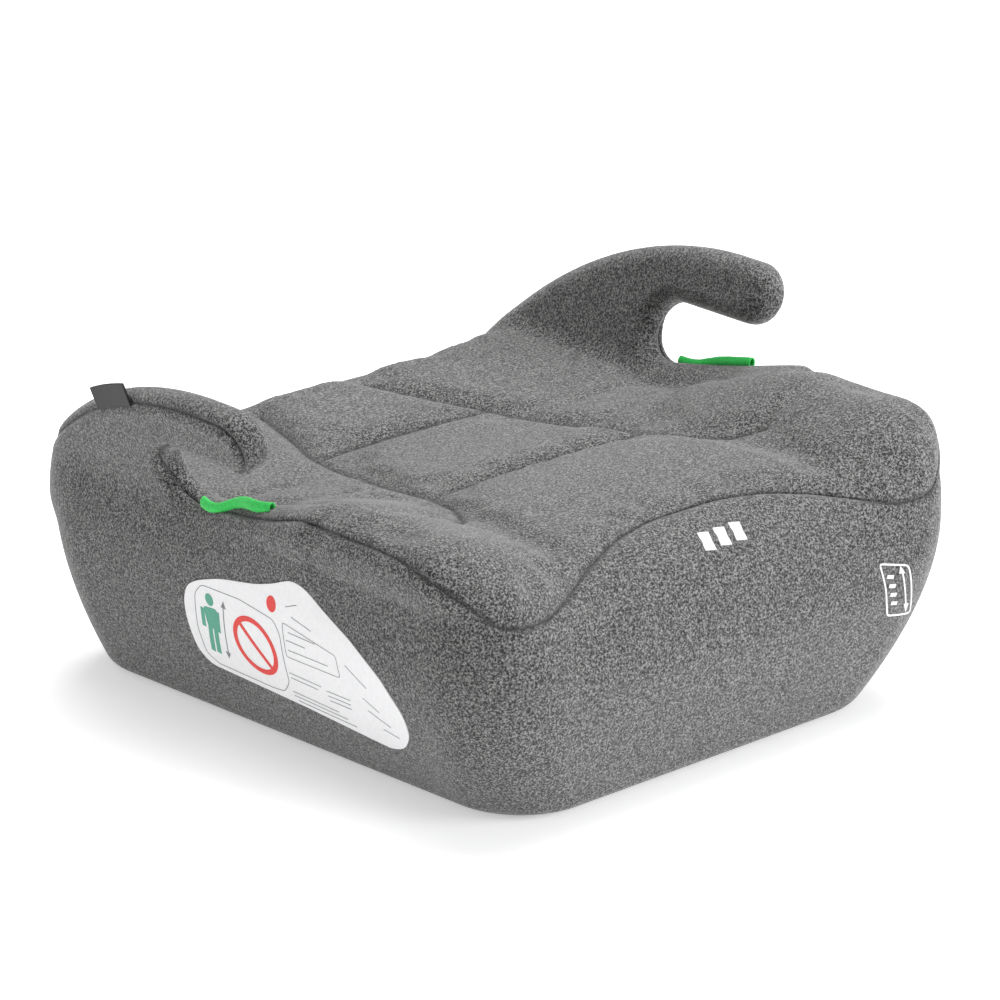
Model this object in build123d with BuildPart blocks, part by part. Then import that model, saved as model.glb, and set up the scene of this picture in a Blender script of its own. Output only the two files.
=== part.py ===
"""Backless booster seat: a moulded body with two hooked belt guides, foam and a sewn knit cover.

Frame: +Z up, -Y the seat's front edge, +X the child's left. The origin is on the ground,
under the middle of the seat. Sizes are in millimetres.
"""

import os
from math import cos, radians, sin, sqrt, tan

from build123d import *

# ---- Overall form ----
front_half_width = 190.0    # half the width across the front corners, at the shoulder
rear_half_width = 195.0     # half the width across the rear corners, at the shoulder
half_depth = 205.5          # front face to middle, and middle to rear face
shoulder_height = 110.0     # above this the sides stand upright, below it they tuck in
corner_radius = 52.0        # the four upright corners
front_side_tuck = 48.0      # how far the sides come in at the ground, at the front
rear_side_tuck = 27.0       # and at the rear
front_tuck = 27.0           # how far the front face comes in at the ground
rear_tuck = 20.0            # and the rear face
corner_tuck = 8.0           # corner radius lost at the ground
tuck_power = 1.8            # shape of the boat-like curve from shoulder to ground
arm_flare = 45.0            # how far the form opens out beside the armrests, at its top
flare_start = 135.0         # where that begins
form_top = 226.0            # the outer form is drawn up past the armrests

# ---- Seat top ----
seat_rear_height = 130.0    # the seat's low rear part
seat_front_rise = 20.0      # its rise to the front plateau
rise_start = 90.0           # where along Y the rise begins
rise_length = 202.0         # and how long it is
bolster_height = 168.0      # the side bolsters' crest, near the front corners
bolster_inner = 92.0        # where across X the bolsters begin
bolster_width = 82.0        # from there to the crest
deck_height = 134.0         # the sides beside the armrests' notches
deck_end = 52.0             # where along Y the bolsters begin to climb from the deck
bolster_length = 140.0      # how long that climb is
front_roll = 62.0           # radius of the soft front edge
side_roll = 20.0            # radius of the side edges
rear_roll = 28.0            # radius of the rear edge

# ---- Armrests with hooked belt guides ----
arm_height = 211.0          # top of the hook's outer face
arm_outer = 217.0           # outer face at that height
arm_lean = 18.0             # degrees that the armrest leans outwards
arm_thickness = 24.0        # across X
arm_edge = 11.0             # rounding of the armrest's long edges
arm_edge_low = 122.0        # edges lower than this stay sharp, inside the body
tip_radius = 19.0           # the hook's round end
tip_centre = -9.0          # where along Y it sits
notch_radius = 19.0         # the round back of the belt notch
notch_centre = 44.5         # where along Y it sits
notch_height = 154.0        # and how high
notch_slope = 10.6          # degrees that the notch's floor climbs towards the front
crown_place = 8.0          # where along Y the hook's flat top ends
slope_radius = 244.0        # the armrest's long rear slope
arm_root = 92.0             # the armrests reach down into the body to here
arm_front = -12.0           # and forward to where the notch floors meet the bolsters

# ---- Layers, from outside in ----
cover_thickness = 3.0       # knit fabric laminated to thin foam
seat_foam_thickness = 16.0  # pad on the seat's top
arm_foam_thickness = 2.0    # sleeve round each armrest
wall = 2.8                  # moulded plastic walls
fit_gap = 0.4               # between a moulding and the one it drops into

# ---- Underside ----
hem_drop = 2.0              # the cover's lower edge, above the ground
hem_thickness = 1.8         # doubled edge of the cover, turned under the tray
hem_width = 26.0
elastic_width = 6.0
foot_height = 5.0           # rubber feet, from the ground to the tray
foot_radius = 15.0
foot_plug_radius = 4.5      # the plug that holds a foot in the tray
foot_plug_length = 6.0
foot_side = 92.0            # feet, across X from the middle
foot_front = 126.0          # front feet, from the middle
foot_rear = 134.0           # rear feet, from the middle
tray_thickness = 3.0
rib_height = 16.0
rib_thickness = 2.4
rib_spacing = 46.0
clip_plate = (16.0, 20.0, 1.8)   # clips that pull the elastic to the tray, along the edge, inwards, up
clip_tongue = (10.0, 2.4, 9.0)   # and the tongue that each pushes into the tray

clip_places = (-78.0, 92.0)      # clips at the sides, along Y; one more at each end

# ---- Screws ----
post_radius = 6.5           # screw posts inside the body
post_places = ((57.0, 126.0), (57.0, -134.0), (108.0, 58.0), (108.0, -62.0))  # mirrored, as X and -Y
screw_radius = 2.0
screw_head_radius = 4.2
screw_head_height = 2.2
body_screw_length = 30.0    # up through the tray into the posts
arm_screw_length = 10.0     # across each armrest
deck_screw_length = 22.0    # up through the shell's deck into each armrest
arm_post_radius = 5.0
arm_screw_places = ((-8.0, 192.0), (88.0, 165.0), (150.0, 142.0))  # along Y and up the armrest
deck_screw_places = ((175.0, 98.0), (175.0, 156.0))                 # across X and along Y
deck_post_height = 34.0

# ---- Trim ----
guide_length = 66.0         # green webbing at the notch floor
guide_height = 9.0
guide_thickness = 4.0
guide_inward = 17.0         # from the armrest's outer face to the webbing
back_seam = 140.0           # upright seams of the back panel, from the middle
label_thickness = 0.5
label_corners = (                 # the care label on the right side, along Y and up
    (52.0, 91.0), (-20.0, 113.0), (-56.0, 125.0), (-67.0, 120.0), (-129.0, 68.0), (-129.0, 50.0), (-111.0, 36.0),
    (21.0, 36.0),
)
label_corner_radius = 9.0
tag_size = (1.6, 36.0, 24.0)      # the small folded tag, across X, along the armrest's slope, and up
tag_place = (204.5, 92.0, 195.0)  # its middle, in the right armrest's top seam
tag_slope = 14.0                  # degrees that the slope falls to the rear

tray_low = foot_height
under_cover = cover_thickness + fit_gap      # depth at which foam and mouldings begin
tray_inset = under_cover + wall + fit_gap
armrest_layer = under_cover + arm_foam_thickness
body_layer = under_cover + seat_foam_thickness
shell_low = hem_drop + hem_thickness


def smooth(value):
    """An S-shaped step from 0 to 1."""
    step = min(1.0, max(0.0, value))
    return step * step * (3.0 - 2.0 * step)


def rolled(distance, radius):
    """Drop of a round edge, a distance past where the edge starts to turn."""
    past = min(max(0.0, distance), 0.97 * radius)
    return radius - sqrt(radius * radius - past * past) + 3.0 * max(0.0, distance - past)


def outline_sizes(height, inset):
    """Half-widths at front and rear, Y of both faces and corner radius of the body at a height."""
    tuck = max(0.0, 1.0 - height / shoulder_height) ** tuck_power
    flare = arm_flare * max(0.0, height - flare_start) / (form_top - flare_start)
    front = front_half_width - front_side_tuck * tuck + flare - inset
    rear = rear_half_width - rear_side_tuck * tuck + 0.5 * flare - inset
    y_front = -half_depth + front_tuck * tuck + inset
    y_rear = half_depth - rear_tuck * tuck - inset
    return front, rear, y_front, y_rear, corner_radius - corner_tuck * tuck - inset


def half_width_at(y, height):
    """Half the body's width at a place along Y."""
    front, rear, y_front, y_rear, _ = outline_sizes(height, 0.0)
    return front + (rear - front) * (y - y_front) / (y_rear - y_front)


def plan(height, inset):
    """The body's outline at a height, moved in by an inset."""
    front, rear, y_front, y_rear, radius = outline_sizes(height, inset)
    with BuildSketch() as outline:
        with BuildLine():
            Polyline((-front, y_front), (front, y_front), (rear, y_rear), (-rear, y_rear), close=True)
        make_face()
        fillet(vertices(), radius=radius)
    return outline.sketch


def form(inset, low):
    """The outer form, moved in by an inset: tucked in below, flared out beside the armrests."""
    with BuildPart() as outer:
        for height in (low, 28.0, 62.0, shoulder_height, 155.0, form_top):
            with BuildSketch(Plane.XY.offset(height)):
                add(plan(height, inset))
        loft()
    return outer.part


def seat_height(x, y, side_inset):
    """Height of the seat's top: a dish between two bolsters, rolled off at all its edges."""
    middle = seat_rear_height + seat_front_rise * smooth((rise_start - y) / rise_length)
    climb = smooth((deck_end - y) / bolster_length)
    bolster = deck_height + (bolster_height - deck_height) * climb
    across = smooth((abs(x) - bolster_inner) / bolster_width)
    half_width = half_width_at(y, shoulder_height) - side_inset
    drop = rolled(abs(x) - (half_width - side_roll), side_roll)
    drop += rolled(-y - (half_depth - side_inset - front_roll), front_roll)
    drop += rolled(y - (half_depth - side_inset - rear_roll), rear_roll)
    return middle + (bolster - middle) * across - drop


def air_above_seat(side_inset, top_inset):
    """All the space above the seat's top."""
    steps = 40
    reach = half_depth + arm_flare
    places = [reach * (2.0 * i / steps - 1.0) for i in range(steps + 1)]
    rows = [
        [Vector(x, y, max(20.0, seat_height(x, y, side_inset) - top_inset)) for x in places] for y in places
    ]
    with BuildPart() as air:
        extrude(Face.make_surface_from_array_of_points(rows), amount=2.0 * form_top, dir=(0, 0, 1))
    return air.part


def pod(side_inset, top_inset, low):
    """The body without its armrests, moved in by one inset at the sides and another on top."""
    with BuildPart() as body:
        add(form(side_inset, low))
        add(air_above_seat(side_inset, top_inset), mode=Mode.SUBTRACT)
    return body.part


lean = radians(arm_lean)
arm_plane = Plane(
    origin=(arm_outer - arm_height * sin(lean), 0.0, arm_height * (1.0 - cos(lean))),
    x_dir=(0, 1, 0),
    z_dir=(cos(lean), 0, -sin(lean)),
)


def on_slope(y):
    """A point on the armrest's long rear slope."""
    return y, arm_height - slope_radius + sqrt(slope_radius**2 - (y - crown_place) ** 2)


def hook_profile():
    """The armrest from the side, as a wire: rear slope, crown, hook tip and belt notch."""
    rear = half_depth + 6.0
    floor = radians(notch_slope)
    crown = (crown_place, arm_height)
    tip_top = (tip_centre, arm_height)
    tip_front = (tip_centre - tip_radius, arm_height - tip_radius)
    tip_low = (tip_centre, arm_height - 2.0 * tip_radius)
    notch_top = (notch_centre, notch_height + notch_radius)
    notch_rear = (notch_centre + notch_radius, notch_height)
    notch_floor = (notch_centre - notch_radius * sin(floor), notch_height - notch_radius * cos(floor))
    floor_front = (arm_front, notch_floor[1] + (notch_floor[0] - arm_front) * tan(floor))
    with BuildLine() as profile:
        ThreePointArc(crown, on_slope(0.5 * (crown_place + rear)), on_slope(rear))
        Polyline(on_slope(rear), (rear, arm_root), (arm_front, arm_root), floor_front)
        Line(crown, tip_top)
        ThreePointArc(tip_top, tip_front, tip_low)
        Line(tip_low, notch_top)
        ThreePointArc(notch_top, notch_rear, notch_floor)
        Line(notch_floor, floor_front)
    return profile.wire()


def arm_plate(inset):
    """The left armrest as a leaning slab with round edges, moved in by an inset all round."""
    across = Axis((0, 0, 0), arm_plane.z_dir)
    with BuildPart() as slab:
        with BuildSketch(arm_plane.offset(-inset)):
            add(hook_profile())
            make_face()
            if inset:
                offset(amount=-inset, mode=Mode.REPLACE)
        extrude(amount=2.0 * inset - arm_thickness)
        for side in (0, -1):
            rim = slab.faces().sort_by(across)[side].edges()
            fillet(rim.filter_by(lambda edge: edge.center().Z > arm_edge_low), radius=arm_edge - inset)
    return slab.part


def arm_column(inset):
    """The room that an armrest takes out of the seat's pad and panel, from its root upwards."""
    with BuildPart() as column:
        with BuildSketch(arm_plane.offset(-inset)):
            with Locations((0.5 * (arm_front + half_depth) + corner_radius, 0.5 * (arm_root + form_top))):
                Rectangle(half_depth - arm_front + 2.0 * (corner_radius - inset), form_top - arm_root)
        extrude(amount=2.0 * inset - arm_thickness)
    return column.part


def arm(inset):
    """The left armrest, its slab trimmed to the body's outer form."""
    with BuildPart() as armrest:
        add(arm_plate(inset))
        add(form(inset, shell_low), mode=Mode.INTERSECT)
    return armrest.part


def screws(planes, length):
    """Pan-head screws, one for each plane, with the head under the plane and the shank along +Z of it."""
    with BuildPart() as group:
        for plane in planes:
            with BuildSketch(plane):
                Circle(screw_radius)
            extrude(amount=length)
            with BuildSketch(plane):
                Circle(screw_head_radius)
            extrude(amount=-screw_head_height)
    return group.part


def mirrored(part):
    """The same piece for the right side."""
    with BuildPart() as other:
        mirror(part, about=Plane.YZ)
    return other.part


os.makedirs("parts", exist_ok=True)


def save(part, name):
    """Labels a finished piece and writes it out."""
    part.label = name
    export_step(part, f"parts/{name}.step")


# ---- Moulded seat shell: one wall all round, open below, with screw posts ----
posts = [(x, y) for px, py in post_places for x, y in ((px, -py), (-px, -py))]
shell_inside = pod(under_cover + wall, body_layer + wall, shell_low - 1.0)
with BuildPart() as shell_posts:
    with BuildSketch(Plane.XY.offset(tray_low + tray_thickness)):
        with Locations(*posts):
            Circle(post_radius)
            Circle(screw_radius, mode=Mode.SUBTRACT)
    extrude(amount=form_top)
    add(shell_inside, mode=Mode.INTERSECT)
deck_screw_points = [(side * x, y) for side in (1, -1) for x, y in deck_screw_places]
with BuildPart() as seat_shell:
    add(pod(under_cover, body_layer, shell_low))
    add(shell_inside, mode=Mode.SUBTRACT)
    with BuildSketch(Plane.XY.offset(arm_root)):
        with Locations(*deck_screw_points):
            Circle(screw_radius)
    extrude(amount=form_top, mode=Mode.SUBTRACT)
    add(shell_posts.part)
save(seat_shell.part, "seat_shell")

# ---- Base tray: a flat panel with a grid of ribs on its inner side ----
foot_places = [
    (side * foot_side, y) for y in (-foot_front, foot_rear) for side in (1, -1)
]
with BuildPart() as base_tray:
    with BuildSketch(Plane.XY.offset(tray_low)):
        add(plan(tray_low, tray_inset))
    extrude(amount=tray_thickness)
    with BuildSketch(Plane.XY.offset(tray_low + tray_thickness)):
        rib_count = int(half_depth / rib_spacing)
        for step in range(-rib_count, rib_count + 1):
            with Locations((step * rib_spacing, 0)):
                Rectangle(rib_thickness, 2.0 * half_depth)
            with Locations((0, step * rib_spacing)):
                Rectangle(2.0 * half_depth, rib_thickness)
        add(plan(tray_low, tray_inset + wall), mode=Mode.INTERSECT)
        with Locations(*posts):
            Circle(post_radius + fit_gap, mode=Mode.SUBTRACT)
        with Locations(*foot_places):
            Circle(foot_plug_radius + wall)
    extrude(amount=rib_height)
    with BuildSketch(Plane.XY.offset(tray_low)):
        with Locations(*posts):
            Circle(screw_radius)
    extrude(amount=tray_thickness, mode=Mode.SUBTRACT)
    with BuildSketch(Plane.XY.offset(tray_low)):
        with Locations(*foot_places):
            Circle(foot_plug_radius)
    extrude(amount=foot_plug_length, mode=Mode.SUBTRACT)
    clip_inset = cover_thickness + hem_width + elastic_width + 0.5 * clip_plate[1] + 8.0 * fit_gap
    clip_planes = [
        Plane(origin=(side * (half_width_at(y, hem_drop) - clip_inset), y, tray_low), x_dir=(0, 1, 0))
        for side in (1, -1)
        for y in clip_places
    ]
    _, _, tray_front, tray_rear, _ = outline_sizes(hem_drop, clip_inset)
    clip_planes += [Plane(origin=(0, y, tray_low)) for y in (tray_front, tray_rear)]
    for plane in clip_planes:
        with BuildSketch(plane):
            Rectangle(clip_tongue[0], clip_tongue[1])
        extrude(amount=clip_tongue[2], mode=Mode.SUBTRACT)
save(base_tray.part, "base_tray")

with BuildPart() as hem_clips:
    for plane in clip_planes:
        with BuildSketch(plane):
            Rectangle(clip_plate[0], clip_plate[1])
        extrude(amount=-clip_plate[2])
        with BuildSketch(plane):
            Rectangle(clip_tongue[0], clip_tongue[1])
        extrude(amount=clip_tongue[2])
save(hem_clips.part, "hem_clips")

tray_screws = screws([Plane(origin=(x, y, tray_low)) for x, y in posts], body_screw_length)
save(tray_screws, "tray_screws")

# ---- Rubber feet, each with a plug pushed into the tray ----
foot_names = ("foot_front_left", "foot_front_right", "foot_rear_left", "foot_rear_right")
for name, (x, y) in zip(foot_names, foot_places):
    with BuildPart() as foot:
        with BuildSketch(Plane(origin=(x, y, 0))):
            Circle(foot_radius)
        extrude(amount=foot_height)
        fillet(foot.edges().group_by(Axis.Z)[0], radius=0.3 * foot_height)
        with BuildSketch(Plane(origin=(x, y, foot_height))):
            Circle(foot_plug_radius)
        extrude(amount=foot_plug_length)
    save(foot.part, name)

# ---- Armrests: two hollow halves each, screwed across, standing on the shell's deck ----
deck = air_above_seat(under_cover, body_layer)
arm_outside = arm(armrest_layer)
arm_inside = arm(armrest_layer + wall)
arm_middle = arm_plane.offset(-0.5 * arm_thickness)
arm_screw_start = arm_plane.offset(armrest_layer + screw_head_height - arm_thickness)
with BuildPart() as armrest_posts:
    with BuildSketch(arm_plane):
        with Locations(*arm_screw_places):
            Circle(arm_post_radius)
    extrude(amount=-arm_thickness)
    add(arm_outside, mode=Mode.INTERSECT)
with BuildPart() as deck_posts:
    with BuildSketch(Plane.XY.offset(arm_root)):
        with Locations(*deck_screw_places):
            Circle(arm_post_radius)
    extrude(amount=seat_rear_height - body_layer - arm_root + deck_post_height)
    add(arm_outside, mode=Mode.INTERSECT)
with BuildPart() as armrest_moulding:
    add(arm_outside)
    add(arm_inside, mode=Mode.SUBTRACT)
    add(armrest_posts.part)
    add(deck_posts.part)
    with BuildSketch(arm_screw_start):
        with Locations(*arm_screw_places):
            Circle(screw_radius)
    extrude(amount=arm_screw_length, mode=Mode.SUBTRACT)
    with BuildSketch(arm_screw_start):
        with Locations(*arm_screw_places):
            Circle(screw_head_radius)
    extrude(amount=-arm_thickness, mode=Mode.SUBTRACT)
    with BuildSketch(Plane.XY.offset(arm_root)):
        with Locations(*deck_screw_places):
            Circle(screw_radius)
    extrude(amount=seat_rear_height - arm_root + 2.0, mode=Mode.SUBTRACT)
    add(deck, mode=Mode.INTERSECT)
for name, keep in (("arm_outer", Keep.TOP), ("arm_inner", Keep.BOTTOM)):
    with BuildPart() as half:
        add(armrest_moulding.part)
        split(bisect_by=arm_middle, keep=keep)
    save(half.part, f"{name}_left")
    save(mirrored(half.part), f"{name}_right")

screw_planes = [
    Plane(origin=arm_screw_start.from_local_coords((y, up, 0)), x_dir=(0, 1, 0), z_dir=arm_plane.z_dir)
    for y, up in arm_screw_places
]
left_screws = screws(screw_planes, arm_screw_length)
with BuildPart() as arm_screws:
    add(left_screws)
    mirror(left_screws, about=Plane.YZ)
save(arm_screws.part, "arm_screws")

deck_planes = []
for x, y in deck_screw_points:
    under_deck = seat_height(x, y, under_cover) - body_layer - wall - 1.2
    deck_planes.append(Plane(origin=(x, y, under_deck)))
deck_screws = screws(deck_planes, deck_screw_length)
save(deck_screws, "deck_screws")

# ---- Foam: a pad over the seat and a sleeve on each armrest ----
column = arm_column(under_cover)
with BuildPart() as seat_foam:
    add(form(under_cover, shell_low))
    add(deck, mode=Mode.INTERSECT)
    add(air_above_seat(under_cover, under_cover), mode=Mode.SUBTRACT)
    add(column, mode=Mode.SUBTRACT)
    mirror(column, about=Plane.YZ, mode=Mode.SUBTRACT)
save(seat_foam.part, "seat_foam")

with BuildPart() as arm_foam:
    add(arm(under_cover))
    add(arm_outside, mode=Mode.SUBTRACT)
    add(deck, mode=Mode.INTERSECT)
save(arm_foam.part, "arm_foam_left")
save(mirrored(arm_foam.part), "arm_foam_right")

# ---- Cover: seat panel, a sleeve over each armrest, skirt and back panel ----
panel_underside = air_above_seat(0.0, cover_thickness)
open_air = air_above_seat(0.0, 0.0)
sleeve_plate = arm_plate(0.0)
sleeve_column = arm_column(0.0)
with BuildPart() as cover_seat_panel:
    add(form(0.0, hem_drop))
    add(panel_underside, mode=Mode.INTERSECT)
    add(open_air, mode=Mode.SUBTRACT)
    add(sleeve_column, mode=Mode.SUBTRACT)
    mirror(sleeve_column, about=Plane.YZ, mode=Mode.SUBTRACT)
save(cover_seat_panel.part, "cover_seat_panel")

with BuildPart() as cover_arm:
    add(arm(0.0))
    add(arm(cover_thickness), mode=Mode.SUBTRACT)
    add(panel_underside, mode=Mode.INTERSECT)
save(cover_arm.part, "cover_arm_left")
save(mirrored(cover_arm.part), "cover_arm_right")

with BuildPart() as side_walls:
    add(form(0.0, hem_drop))
    add(form(cover_thickness, hem_drop - 1.0), mode=Mode.SUBTRACT)
    add(panel_underside, mode=Mode.SUBTRACT)
with BuildPart() as back_zone:
    with BuildSketch(Plane.XY):
        with Locations((0, half_depth)):
            Rectangle(2.0 * back_seam, 2.0 * corner_radius)
    extrude(amount=form_top)
for name, keep in (("cover_back_panel", Mode.INTERSECT), ("cover_skirt", Mode.SUBTRACT)):
    with BuildPart() as panel:
        add(side_walls.part)
        add(back_zone.part, mode=keep)
    save(panel.part, name)

# ---- Hem turned under the shell, with the elastic along its inner edge ----
def band(outer_inset, inner_inset, low, high):
    """A flat band that follows the body's outline at the ground."""
    with BuildPart() as strip:
        with BuildSketch(Plane.XY.offset(low)):
            add(plan(low, outer_inset))
            add(plan(low, inner_inset), mode=Mode.SUBTRACT)
        extrude(amount=high - low)
    return strip.part


hem_inner = cover_thickness + hem_width
save(band(cover_thickness + 0.5 * fit_gap, hem_inner, hem_drop, shell_low), "cover_hem")
save(band(hem_inner, hem_inner + elastic_width, hem_drop, tray_low), "hem_elastic")

# ---- Green belt guides sewn in at the notch floors ----
floor_slope = radians(notch_slope)
guide_plane = arm_plane.offset(0.5 * guide_thickness - guide_inward)
with BuildPart() as belt_guide:
    with BuildSketch(guide_plane):
        with Locations(
            (notch_centre - 0.5 * guide_length, notch_height - notch_radius + 0.5 * guide_length * tan(floor_slope))
        ):
            Rectangle(guide_length, 2.0 * guide_height, rotation=-notch_slope)
    extrude(amount=-guide_thickness)
    add(sleeve_plate, mode=Mode.SUBTRACT)
    add(open_air, mode=Mode.INTERSECT)
save(belt_guide.part, "belt_guide_left")
save(mirrored(belt_guide.part), "belt_guide_right")

# ---- Care label on the right side, and the small tag in the right armrest's seam ----
with BuildPart() as side_label:
    with BuildSketch(Plane.YZ):
        with BuildLine():
            Polyline(*label_corners, close=True)
        make_face()
        fillet(vertices(), radius=label_corner_radius)
    extrude(amount=-form_top)
    add(form(-label_thickness, hem_drop), mode=Mode.INTERSECT)
    add(form(0.0, hem_drop), mode=Mode.SUBTRACT)
save(side_label.part, "side_label")

tag_plane = Plane(
    origin=(-tag_place[0], tag_place[1], tag_place[2]),
    x_dir=(0, cos(radians(tag_slope)), -sin(radians(tag_slope))),
    z_dir=(1, 0, 0),
)
with BuildPart() as side_tag:
    with BuildSketch(tag_plane):
        RectangleRounded(tag_size[1], tag_size[2], radius=1.5)
    extrude(amount=0.5 * tag_size[0], both=True)
    mirror(sleeve_plate, about=Plane.YZ, mode=Mode.SUBTRACT)
save(side_tag.part, "side_tag")
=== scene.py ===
# %% [markdown]
# # A backless booster seat
# The seat is a moulded body with two hooked armrests, padded with foam and dressed in a stretch knit
# cover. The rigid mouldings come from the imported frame. Everything soft is made here: first one smooth
# skin for the whole cover, then its seams and sewn channels, then the trim and the small printed marks.

# %% Load the frame
import bmesh
import bpy
import numpy as np
from math import cos, pi, radians, sin, sqrt, tan
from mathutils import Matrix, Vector
from mathutils.bvhtree import BVHTree
from mathutils.kdtree import KDTree


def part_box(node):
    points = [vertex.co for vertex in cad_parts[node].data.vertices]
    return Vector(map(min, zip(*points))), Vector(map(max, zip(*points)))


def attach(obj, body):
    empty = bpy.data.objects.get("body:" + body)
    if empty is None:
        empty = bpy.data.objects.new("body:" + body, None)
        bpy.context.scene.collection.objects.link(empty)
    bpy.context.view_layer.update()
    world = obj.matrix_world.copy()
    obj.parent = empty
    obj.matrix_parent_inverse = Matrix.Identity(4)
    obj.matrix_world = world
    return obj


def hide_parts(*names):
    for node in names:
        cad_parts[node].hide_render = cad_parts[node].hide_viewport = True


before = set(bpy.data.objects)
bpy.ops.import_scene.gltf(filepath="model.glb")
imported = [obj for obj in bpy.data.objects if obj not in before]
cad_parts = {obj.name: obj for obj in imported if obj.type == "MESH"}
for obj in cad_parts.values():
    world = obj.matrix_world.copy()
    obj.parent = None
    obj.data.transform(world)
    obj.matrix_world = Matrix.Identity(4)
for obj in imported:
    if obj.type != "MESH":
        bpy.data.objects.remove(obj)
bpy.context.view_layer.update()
MM = 0.001

# %% [markdown]
# ## Camera, floor and light
# A product picture: a long lens from the front right corner, a pale floor that runs into the backdrop and
# large soft lights. The long lens keeps the seat's sides almost parallel.

# %% Camera
CAMERA_TURN = radians(41.6)
CAMERA_RISE = radians(20.42)
CAMERA_REACH = 2.9194
CAMERA_TARGET = Vector((-0.0001, -0.0025, 0.1112))

camera_data = bpy.data.cameras.new("camera")
camera_data.lens = 180.0
camera_data.sensor_width = 36.0
camera_data.clip_end = 50.0
camera = bpy.data.objects.new("camera", camera_data)
bpy.context.collection.objects.link(camera)
level = cos(CAMERA_RISE)
away = Vector((-sin(CAMERA_TURN) * level, -cos(CAMERA_TURN) * level, sin(CAMERA_RISE)))
camera.location = CAMERA_TARGET + CAMERA_REACH * away
camera.rotation_euler = away.to_track_quat("Z", "Y").to_euler()
bpy.context.scene.camera = camera

# %% Floor and lights
def new_object(name, mesh):
    """Links a new mesh object."""
    made = bpy.data.objects.new(name, mesh)
    bpy.context.collection.objects.link(made)
    return made


floor_mesh = bpy.data.meshes.new("floor")
floor_mesh.from_pydata([(-9, -9, 0), (9, -9, 0), (9, 9, 0), (-9, 9, 0)], [], [(0, 1, 2, 3)])
floor = new_object("floor", floor_mesh)


def area_light(name, place, target, size, power, colour=(1, 1, 1)):
    """A square soft box that faces a target."""
    data = bpy.data.lights.new(name, "AREA")
    data.size = size
    data.energy = power
    data.color = colour
    light = bpy.data.objects.new(name, data)
    light.location = place
    light.rotation_euler = (Vector(place) - Vector(target)).to_track_quat("Z", "Y").to_euler()
    bpy.context.collection.objects.link(light)


SEAT_MIDDLE = (0, 0, 0.1)
area_light("key_light", (0.5, 0.3, 2.4), SEAT_MIDDLE, 1.8, 62)
area_light("right_light", (1.2, -2.4, 1.0), SEAT_MIDDLE, 1.4, 46, (0.97, 0.98, 1.0))
area_light("left_light", (-2.6, 0.2, 1.3), SEAT_MIDDLE, 1.4, 0.8, (1.0, 0.98, 0.96))
world = bpy.data.worlds.new("studio")
world.use_nodes = True
world.node_tree.nodes["Background"].inputs["Color"].default_value = (1, 1, 1, 1)
world.node_tree.nodes["Background"].inputs["Strength"].default_value = 0.42
bpy.context.scene.world = world
bpy.context.scene.view_settings.view_transform = "Standard"

# %% [markdown]
# ## The form
# The cover follows the body under it, so its shape is easiest to say as a distance: how far a point is
# outside the seat. The body is a rounded box that tucks in towards the ground, topped by a dished seat;
# each armrest is a leaning slab cut to the hook's outline. Soft minimum and maximum blend them the way
# stretched fabric does. All lengths in these functions are millimetres.

# %% Rounded outline and dished seat
FRONT_HALF, REAR_HALF, HALF_DEPTH, SHOULDER = 190.0, 194.5, 205.5, 110.0
CORNER, FRONT_ROLL, REAR_ROLL, TOP_BLEND = 52.0, 62.0, 28.0, 27.0
FRONT_SIDE_TUCK, REAR_SIDE_TUCK, FRONT_TUCK, REAR_TUCK, CORNER_TUCK = 48.0, 27.0, 27.0, 20.0, 8.0
FLARE, FLARE_LOW, FLARE_HIGH = 45.0, 135.0, 226.0
SEAT_REAR_Z, SEAT_RISE, RISE_Y, RISE_LENGTH = 130.0, 20.0, 90.0, 202.0
BOLSTER_REAR_Z, BOLSTER_RISE, BOLSTER_Y, BOLSTER_LENGTH = 134.0, 34.0, 52.0, 140.0
BOLSTER_INNER, BOLSTER_WIDTH = 92.0, 82.0


def eased(value):
    """An S-shaped step from 0 to 1."""
    t = np.clip(value, 0, 1)
    return t * t * (3 - 2 * t)


def round_max(a, b, radius):
    """Where both fields hold, with a round edge between them."""
    edge = np.hypot(np.maximum(a + radius, 0), np.maximum(b + radius, 0))
    return np.minimum(np.maximum(a, b), -radius) + edge


def soft_max(a, b, width):
    """Where both fields hold, with a soft edge."""
    share = np.maximum(width - np.abs(a - b), 0) / width
    return np.maximum(a, b) + share * share * width * 0.25


def soft_min(a, b, width):
    """Where either field holds, with a fillet between them."""
    return -soft_max(-a, -b, width)


def hull(x, y, z):
    """Distance outside the body's upright sides."""
    tuck = np.maximum(0, 1 - z / SHOULDER) ** 1.8
    flare = FLARE * np.maximum(0, z - FLARE_LOW) / (FLARE_HIGH - FLARE_LOW)
    front = FRONT_HALF - FRONT_SIDE_TUCK * tuck + flare
    rear = REAR_HALF - REAR_SIDE_TUCK * tuck + 0.5 * flare
    y_front, y_rear = HALF_DEPTH - FRONT_TUCK * tuck, HALF_DEPTH - REAR_TUCK * tuck
    corner = CORNER - CORNER_TUCK * tuck
    slope = (rear - front) / (y_rear + y_front)
    side = (np.abs(x) - (front + slope * (y + y_front))) / np.sqrt(1 + slope * slope)
    return round_max(round_max(side, -y_front - y, corner), y - y_rear, corner)


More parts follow.
